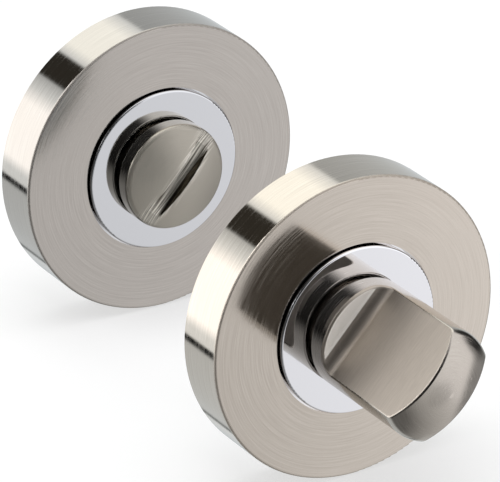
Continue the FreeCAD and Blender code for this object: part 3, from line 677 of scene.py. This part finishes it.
def wood_screw(half, node_name):
    """A threaded screw in the place of the plain blank."""
    low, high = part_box(node_name)
    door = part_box(f"{half}_base")[1].y
    mesh = bmesh.new()
    screw_core(mesh, low.y - door, high.y - door, (high.x - low.x) / 2)
    turns = screw_thread(mesh, high.y - door)
    bmesh.ops.translate(mesh, verts=mesh.verts, vec=((low.x + high.x) / 2, door, (low.z + high.z) / 2))
    bmesh.ops.recalc_face_normals(mesh, faces=mesh.faces)
    for face in mesh.faces:
        face.smooth = True
    for edge in mesh.edges:
        edge.smooth = edge.calc_face_angle(0) < SHARP
    data = bpy.data.meshes.new(f"{node_name}_threaded")
    mesh.to_mesh(data)
    mesh.free()
    data.materials.append(ZINC_PLATE)
    screw = bpy.data.objects.new(f"{node_name}_threaded", data)
    bpy.context.scene.collection.objects.link(screw)
    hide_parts(node_name)
    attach(screw, "roses")
    print(screw.name, "turns of thread:", turns, "faces:", len(data.polygons))


for half in HALF_AXES:
    for end in ("upper", "lower"):
        wood_screw(half, f"{half}_fixing_screw_{end}")

# %% [markdown]
# ## Floor
# A plain pale floor that the roses stand on. It takes their soft shadows. The photograph's ground is
# bare white, so part of what the camera sees of the floor is plain white, which keeps the shadows
# light. The metal doesn't show the floor, because the photograph's metal doesn't either.

# %% Pale floor
FLOOR_SIDE = 6
FLOOR_GAP = 0.2 * MM
FLOOR_TONE = "#F6F6F6"
FLOOR_SHEEN = 0.9
FLOOR_WHITE = 0.6


def floor_finish():
    """Matt off-white card, of which the camera sees a share as plain white."""
    material, tree, surface, _ = new_material("pale floor")
    surface.inputs["Base Color"].default_value = linear(FLOOR_TONE)
    surface.inputs["Roughness"].default_value = FLOOR_SHEEN
    white = add(tree, "ShaderNodeEmission", inputs={"Color": WHITE, "Strength": 1.0})
    path = add(tree, "ShaderNodeLightPath")
    share = add(tree, "ShaderNodeMath", {"operation": "MULTIPLY"},
                {0: path.outputs["Is Camera Ray"], 1: FLOOR_WHITE})
    both = add(tree, "ShaderNodeMixShader",
               inputs={0: share.outputs[0], 1: surface.outputs["BSDF"], 2: white.outputs["Emission"]})
    output = next(node for node in tree.nodes if node.type == "OUTPUT_MATERIAL")
    tree.links.new(both.outputs[0], output.inputs["Surface"])
    return material


def pale_floor():
    """A wide flat sheet just under the roses."""
    mesh = bmesh.new()
    bmesh.ops.create_grid(mesh, x_segments=1, y_segments=1, size=FLOOR_SIDE / 2)
    bmesh.ops.translate(mesh, verts=mesh.verts, vec=(0, 0, -ROSE_RADIUS - FLOOR_GAP))
    data = bpy.data.meshes.new("pale_floor")
    mesh.to_mesh(data)
    mesh.free()
    data.materials.append(floor_finish())
    floor = bpy.data.objects.new("pale_floor", data)
    bpy.context.scene.collection.objects.link(floor)
    floor.visible_glossy = False
    return floor


print("floor level mm:", round(pale_floor().bound_box[0][2] / MM, 2))

# %% [markdown]
# ## Studio surround
# Metal shows what stands round it, and the photograph's metal shows a studio of bright boxes and dark
# gaps. The world is that studio, seen by direction, and to the camera itself it is plain white. Behind
# the roses the panels are laid out by the angle round the Y axis, because the walls of the roses look
# there, and a few plain tones serve them all. In front is a pale wall, brighter to the upper right,
# which the faces show. Black flags take light away round the camera, at the right and at the left,
# where rounded edges look, and a small bright box stands behind at the upper left. Panels could be
# built as meshes, but a world needs no place in the scene.

# %% Tones of the panels behind
WHITE_BOX = "#FFFFFF"
CREAM_BOX = "#F0F2EE"
BOX_EDGE = "#C8CCCE"
LIT_WALL = "#B4B8BA"
GREY_WALL = "#A4A8AA"
SHADED_WALL = "#909496"
DIM_GAP = "#747878"
DARK_LINE = "#5C6060"
BLACK_GAP = "#282622"
BLACK_LINE = "#080808"
print("brightest and darkest panel:", WHITE_BOX, BLACK_LINE)

# %% Panels behind: first and last degree round the Y axis, and the tone at each
BAND_SHIFT = 5
BACK_PANELS = {
    "white box, low end": (-180, -166, WHITE_BOX, WHITE_BOX),
    "white box, fading edge": (-158, -150, BOX_EDGE, BOX_EDGE),
    "black line": (-149.5, -145, BLACK_LINE, BLACK_LINE),
    "grey wall, low left": (-144.5, -86, GREY_WALL, GREY_WALL),
    "dark line": (-84, -81, DARK_LINE, DARK_LINE),
    "grey wall, low right": (-79, -52, LIT_WALL, SHADED_WALL),
    "dim gap": (-47, -45, DIM_GAP, DIM_GAP),
    "grey wall, right": (-38, 47, GREY_WALL, SHADED_WALL),
    "cream box, right edge": (50, 64, BOX_EDGE, CREAM_BOX),
    "cream box, left edge": (94, 103, CREAM_BOX, BOX_EDGE),
    "black gap": (105, 126, BLACK_GAP, BLACK_GAP),
    "white box, soft edge": (128, 138, GREY_WALL, BOX_EDGE),
    "white box": (150, 180, WHITE_BOX, WHITE_BOX),
}


def panels_behind(tree, part):
    """Colour by the angle of a direction round the Y axis."""
    stops = []
    for first, last, low, high in BACK_PANELS.values():
        stops.append(((first + 180) / 360, low))
        stops.append(((last + 180) / 360, high))
    angle = add(tree, "ShaderNodeMath", {"operation": "ARCTAN2"},
                {0: part.outputs["Z"], 1: part.outputs["X"]})
    shifted = add(tree, "ShaderNodeMath", {"operation": "SUBTRACT"},
                  {0: angle.outputs[0], 1: math.radians(BAND_SHIFT)})
    round_y = add(tree, "ShaderNodeMath", {"operation": "WRAP"},
                  {0: shifted.outputs[0], 1: math.pi, 2: -math.pi})
    turn = add(tree, "ShaderNodeMapRange",
               inputs={"Value": round_y.outputs[0], "From Min": -math.pi, "From Max": math.pi})
    return add(tree, "ShaderNodeValToRGB", inputs={"Fac": turn.outputs["Result"]},
               stops=stops).outputs["Color"]


print("panels behind:", len(BACK_PANELS))

# %% Wall in front
FRONT_SLOPE = (0.75, 0, 0.66)
FRONT_REACH = 0.7
FRONT_WALL = [(0.0, "#5A5A5A"), (0.14, "#888888"), (0.31, "#A4A4A4"),
              (0.50, "#B8B8B9"), (0.6, "#C8C8CA"), (0.9, "#D2D2D4")]


def wall_in_front(tree, way):
    """Grey that rises to the upper right."""
    slope = add(tree, "ShaderNodeVectorMath", {"operation": "DOT_PRODUCT"}, {0: way, 1: FRONT_SLOPE})
    rise = add(tree, "ShaderNodeMapRange",
               inputs={"Value": slope.outputs["Value"], "From Min": -FRONT_REACH,
                       "From Max": FRONT_REACH})
    return add(tree, "ShaderNodeValToRGB", inputs={"Fac": rise.outputs["Result"]},
               stops=FRONT_WALL).outputs["Color"]


print("tones of the wall in front:", len(FRONT_WALL))

# %% Flags and key box: way to the middle, degrees to the full patch and to its edge, light left
FLAGS = {
    "round the camera": ((-0.48, -0.76, 0.44), 28, 52, 0.03),
    "right": ((0.97, 0.06, 0.22), 18, 30, 0.05),
    "low right": ((0.88, -0.1, -0.46), 16, 32, 0.35),
    "soft, before the faces": ((0.28, -0.87, -0.40), 8, 20, 0.8),
    "left": ((-0.93, -0.1, -0.2), 20, 38, 0.2),
    "high left": ((-0.72, -0.02, 0.69), 14, 26, 0.25),
}
KEY_WAY = (-0.662, 0.423, 0.618)
KEY_FULL, KEY_EDGE = 12, 18
KEY_LIGHT = 1.5


def round_patch(tree, way, middle, full, edge, outside, inside):
    """A number that passes from outside to inside between edge and full degrees of the middle."""
    toward = add(tree, "ShaderNodeVectorMath", {"operation": "DOT_PRODUCT"}, {0: way, 1: middle})
    return add(tree, "ShaderNodeMapRange", {"interpolation_type": "SMOOTHSTEP"}, {
        "Value": toward.outputs["Value"], "From Min": math.cos(math.radians(edge)),
        "From Max": math.cos(math.radians(full)), "To Min": outside, "To Max": inside}).outputs["Result"]


print("flags:", list(FLAGS))

# %% World
STUDIO_GAIN = 1.75
FRONT_END, BACK_START = -0.15, 0.25


def studio_panels(tree):
    """Colour of the studio by direction."""
    way = add(tree, "ShaderNodeTexCoord").outputs["Generated"]
    part = add(tree, "ShaderNodeSeparateXYZ", inputs={0: way})
    depth = add(tree, "ShaderNodeMapRange", {"interpolation_type": "SMOOTHSTEP"},
                {"Value": part.outputs["Y"], "From Min": FRONT_END, "From Max": BACK_START})
    around = add(tree, "ShaderNodeMix", {"data_type": "RGBA"},
                 {0: depth.outputs["Result"], 6: wall_in_front(tree, way), 7: panels_behind(tree, part)})
    shaded = around.outputs[2]
    for middle, full, edge, left in FLAGS.values():
        flag = round_patch(tree, way, middle, full, edge, 1.0, left)
        shaded = add(tree, "ShaderNodeVectorMath", {"operation": "SCALE"},
                     {0: shaded, "Scale": flag}).outputs[0]
    key = round_patch(tree, way, KEY_WAY, KEY_FULL, KEY_EDGE, 0.0, 1.0)
    return add(tree, "ShaderNodeMix", {"data_type": "RGBA"},
               {0: key, 6: shaded, 7: (KEY_LIGHT, KEY_LIGHT, KEY_LIGHT, 1)}).outputs[2]


def studio_world():
    """The studio to the metal, and plain white to the camera."""
    world = bpy.data.worlds.new("studio")
    bpy.context.scene.world = world
    world.use_nodes = True
    tree = world.node_tree
    tree.nodes.clear()
    studio = add(tree, "ShaderNodeBackground",
                 inputs={"Color": studio_panels(tree), "Strength": STUDIO_GAIN})
    plain = add(tree, "ShaderNodeBackground", inputs={"Color": WHITE, "Strength": 1.0})
    path = add(tree, "ShaderNodeLightPath")
    seen = add(tree, "ShaderNodeMixShader", inputs={
        0: path.outputs["Is Camera Ray"], 1: studio.outputs["Background"],
        2: plain.outputs["Background"]})
    add(tree, "ShaderNodeOutputWorld", inputs={"Surface": seen.outputs["Shader"]})
    return tree


print("nodes in the world:", len(studio_world().nodes))

# %% [markdown]
# ## Lamp
# One broad soft box hangs over the pair, so that the floor has a soft shadow under each rose. It isn't
# seen in the metal, where the studio's own panels show instead.

# %% Overhead soft box
LAMP_PLACE = Vector((-0.2, -0.1, 1.2))
LAMP_SIDE = 1.2
LAMP_WATTS = 8


def overhead_soft_box():
    """A square area lamp that looks at the halves."""
    data = bpy.data.lights.new("overhead_soft_box", "AREA")
    data.size = LAMP_SIDE
    data.energy = LAMP_WATTS
    lamp = bpy.data.objects.new("overhead_soft_box", data)
    bpy.context.scene.collection.objects.link(lamp)
    lamp.location = LAMP_PLACE
    lamp.rotation_euler = (-LAMP_PLACE).to_track_quat("-Z", "Y").to_euler()
    lamp.visible_glossy = False
    return lamp


print("lamp watts:", overhead_soft_box().data.energy)

# %% [markdown]
# ## Camera
# The photograph was taken with a long lens from the upper left. The lens, distance and direction were
# fitted to the outlines of both roses, and the aim is set so that the turn's axis meets the door face
# where it does in the photograph.

# %% Camera
PX_WIDE = 500
VIEW_AZIMUTH, VIEW_ELEVATION = math.radians(-32.31), math.radians(25.81)
VIEW_DISTANCE = 734.9 * MM
FOCAL_PX = 4500
TURN_RIGHT_PX, TURN_DOWN_PX = 74.8, 64.9
NEAREST_SEEN = 50 * MM


def photo_camera():
    """Camera at the photograph's angle, aimed so that the turn falls in its place."""
    right = Vector((math.cos(VIEW_AZIMUTH), math.sin(VIEW_AZIMUTH), 0))
    ahead = Vector((-math.sin(VIEW_AZIMUTH) * math.cos(VIEW_ELEVATION),
                    math.cos(VIEW_AZIMUTH) * math.cos(VIEW_ELEVATION), -math.sin(VIEW_ELEVATION)))
    up = right.cross(ahead)
    data = bpy.data.cameras.new("photo_camera")
    data.lens = FOCAL_PX / PX_WIDE * data.sensor_width
    data.clip_start = NEAREST_SEEN
    camera = bpy.data.objects.new("photo_camera", data)
    bpy.context.scene.collection.objects.link(camera)
    camera.location = -VIEW_DISTANCE * ahead
    aim = ahead - right * TURN_RIGHT_PX / FOCAL_PX + up * TURN_DOWN_PX / FOCAL_PX
    camera.rotation_euler = aim.to_track_quat("-Z", "Y").to_euler()
    return camera


bpy.context.scene.camera = photo_camera()
bpy.context.scene.view_settings.view_transform = "Standard"
print("lens mm:", round(bpy.context.scene.camera.data.lens, 1))
